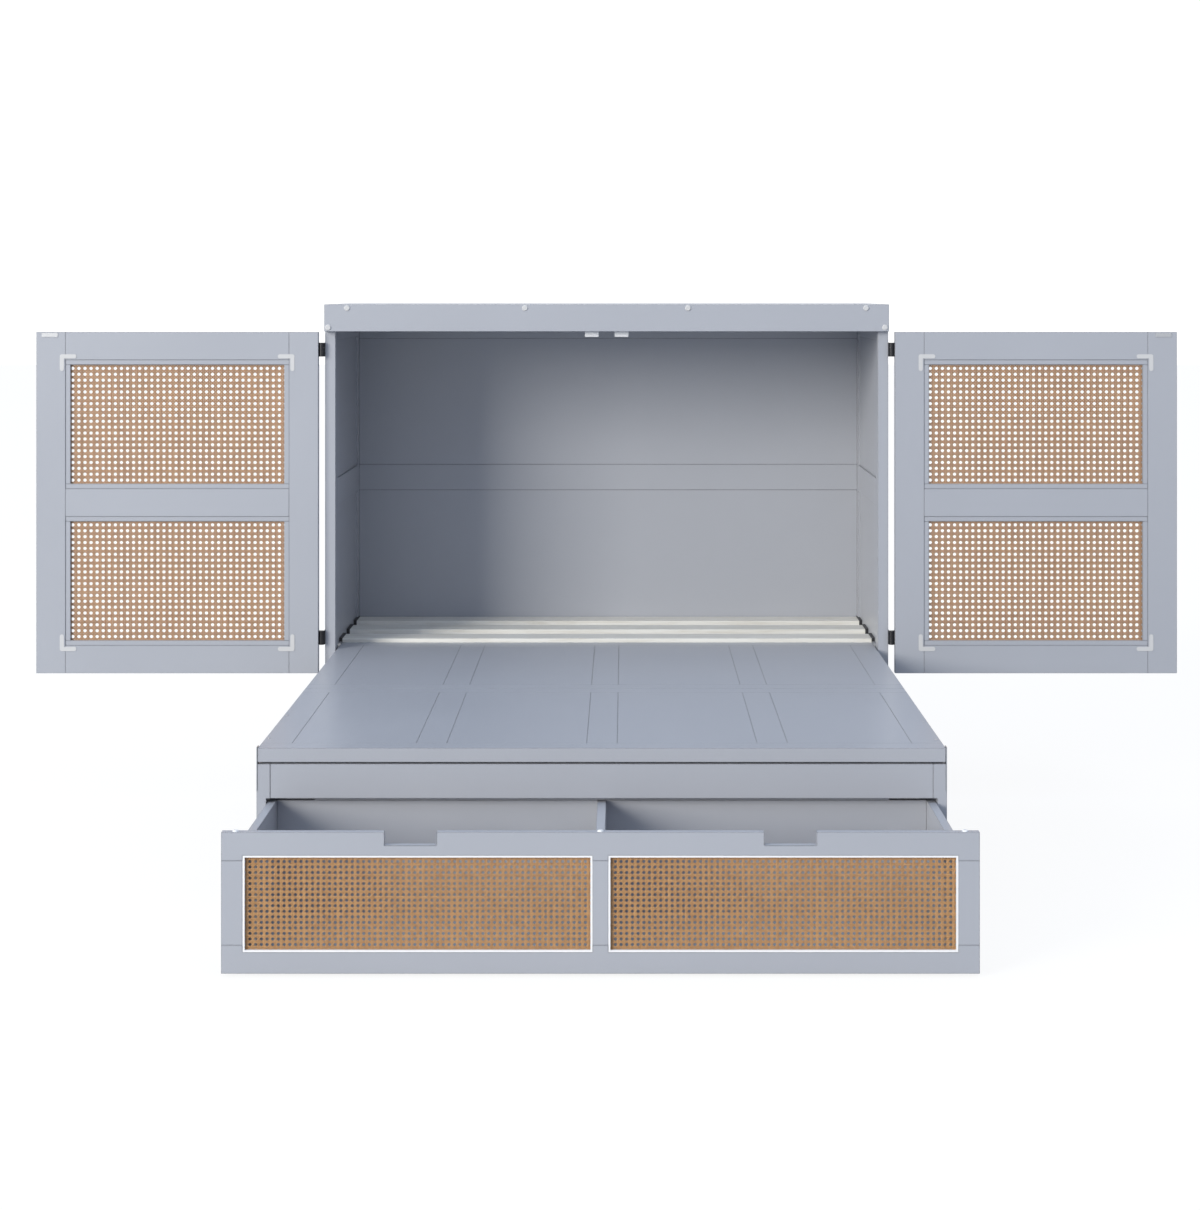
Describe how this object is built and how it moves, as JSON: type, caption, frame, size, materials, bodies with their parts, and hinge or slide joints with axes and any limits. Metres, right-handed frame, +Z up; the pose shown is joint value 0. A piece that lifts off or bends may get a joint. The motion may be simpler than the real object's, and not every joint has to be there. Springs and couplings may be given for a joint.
{
  "type": "storage bed",
  "caption": "Cabinet bed with cane doors: a two-part platform folds up and a foot unit with a wide drawer rolls into the cabinet.",
  "frame": {"origin": "on the floor, in the middle of the footprint with doors, platform and drawer open", "axes": "+X to the right seen from the foot of the bed, -Y towards the foot, +Z up"},
  "size_m": [3.281, 2.397, 1.43],
  "materials": {
    "grey_blue_paint": "satin paint",
    "pale_slat_wood": "matt",
    "cane": "natural woven cane",
    "white_bead": "satin paint",
    "pale_fittings": "satin",
    "white_plastic": "satin",
    "black_plastic": "matt",
    "black_metal": "satin",
    "steel": "brushed"
  },
  "bodies": {
    "cabinet": {"left_side_frame": "grey_blue_paint", "right_side_frame": "grey_blue_paint", "side_panels": "grey_blue_paint", "back_rails": "grey_blue_paint", "back_panels": "grey_blue_paint", "top_panel": "grey_blue_paint", "header": "grey_blue_paint", "top_rail": "grey_blue_paint", "header_bolt_caps": "pale_fittings", "slat_1": "pale_slat_wood", "slat_2": "pale_slat_wood", "slat_3": "pale_slat_wood", "slat_end_holders": "black_plastic", "slat_ledges": "grey_blue_paint", "door_catches": "white_plastic", "levelling_feet": "black_plastic", "rear_pivot_pins": "steel", "left_hinge_cabinet_leaves": "black_metal", "right_hinge_cabinet_leaves": "black_metal"},
    "left_door": {"left_door_frame": "grey_blue_paint", "left_door_beads": "grey_blue_paint", "left_door_lower_cane": "cane", "left_door_upper_cane": "cane", "left_door_corner_brackets": "pale_fittings", "left_door_strike_plate": "steel", "left_hinge_door_leaves": "black_metal"},
    "right_door": {"right_door_frame": "grey_blue_paint", "right_door_beads": "grey_blue_paint", "right_door_lower_cane": "cane", "right_door_upper_cane": "cane", "right_door_corner_brackets": "pale_fittings", "right_door_strike_plate": "steel", "right_hinge_door_leaves": "black_metal"},
    "mid_panel": {"mid_panel_frame": "grey_blue_paint", "mid_panel_infills": "grey_blue_paint", "seam_hinge_mid_leaves": "steel"},
    "foot_panel": {"foot_panel_frame": "grey_blue_paint", "foot_panel_infills": "grey_blue_paint", "seam_hinge_foot_leaves": "steel", "foot_panel_screws": "steel"},
    "support_legs": {"support_legs": "grey_blue_paint", "leg_shaft": "steel"},
    "foot_unit": {"left_end_panel": "grey_blue_paint", "right_end_panel": "grey_blue_paint", "apron": "grey_blue_paint", "foot_unit_rails": "grey_blue_paint", "foot_pivot_plates": "steel", "runner_outer_members": "steel"},
    "front_rollers": {"front_rollers": "black_plastic"},
    "rear_rollers": {"rear_rollers": "black_plastic"},
    "runner_middles": {"runner_middle_members": "steel"},
    "drawer": {"drawer_front_frame": "grey_blue_paint", "drawer_front_beads": "white_bead", "drawer_front_cane": "cane", "drawer_cane_retainers": "grey_blue_paint", "drawer_screw_caps": "white_plastic", "drawer_bottom": "grey_blue_paint", "drawer_walls": "grey_blue_paint", "drawer_divider": "grey_blue_paint", "runner_inner_members": "steel"}
  },
  "joints": [
    {"name": "left_door_swing", "type": "hinge", "parent": "cabinet", "child": "left_door", "pos_m": [-0.821, 0.5575, 0.85975], "axis": [0, 0, 1], "range_deg": [0, 90]},
    {"name": "right_door_swing", "type": "hinge", "parent": "cabinet", "child": "right_door", "pos_m": [0.821, 0.5575, 0.85975], "axis": [0, 0, -1], "range_deg": [0, 90]},
    {"name": "platform_fold", "type": "hinge", "parent": "cabinet", "child": "mid_panel", "pos_m": [0, 0.6888, 0.425], "axis": [-1, 0, 0], "range_deg": [0, 88]},
    {"name": "seam_fold", "type": "hinge", "parent": "mid_panel", "child": "foot_panel", "pos_m": [0, -0.10435, 0.399], "axis": [-1, 0, 0], "range_deg": [-176, 0]},
    {"name": "foot_unit_pivot", "type": "hinge", "parent": "foot_panel", "child": "foot_unit", "pos_m": [0, -0.8975, 0.425], "axis": [-1, 0, 0], "range_deg": [0, 88]},
    {"name": "leg_swing", "type": "hinge", "parent": "mid_panel", "child": "support_legs", "pos_m": [0, -0.01935, 0.412], "axis": [-1, 0, 0], "range_deg": [-88, 0]},
    {"name": "drawer_slide", "type": "slide", "parent": "foot_unit", "child": "drawer", "axis": [0, 1, 0], "range_m": [0, 0.267]},
    {"name": "runner_slide", "type": "slide", "parent": "foot_unit", "child": "runner_middles", "axis": [0, 1, 0], "range_m": [0, 0.1335]},
    {"name": "front_roller_spin", "type": "hinge", "parent": "foot_unit", "child": "front_rollers", "pos_m": [0, -0.8635, 0.018], "axis": [1, 0, 0], "continuous": true},
    {"name": "rear_roller_spin", "type": "hinge", "parent": "foot_unit", "child": "rear_rollers", "pos_m": [0, -0.6135, 0.018], "axis": [1, 0, 0], "continuous": true}
  ],
  "couplings": [
    {"joint": "seam_fold", "follows": "platform_fold", "ratio": -2},
    {"joint": "foot_unit_pivot", "follows": "platform_fold", "ratio": 1},
    {"joint": "leg_swing", "follows": "platform_fold", "ratio": -1},
    {"joint": "runner_slide", "follows": "drawer_slide", "ratio": 0.5}
  ]
}
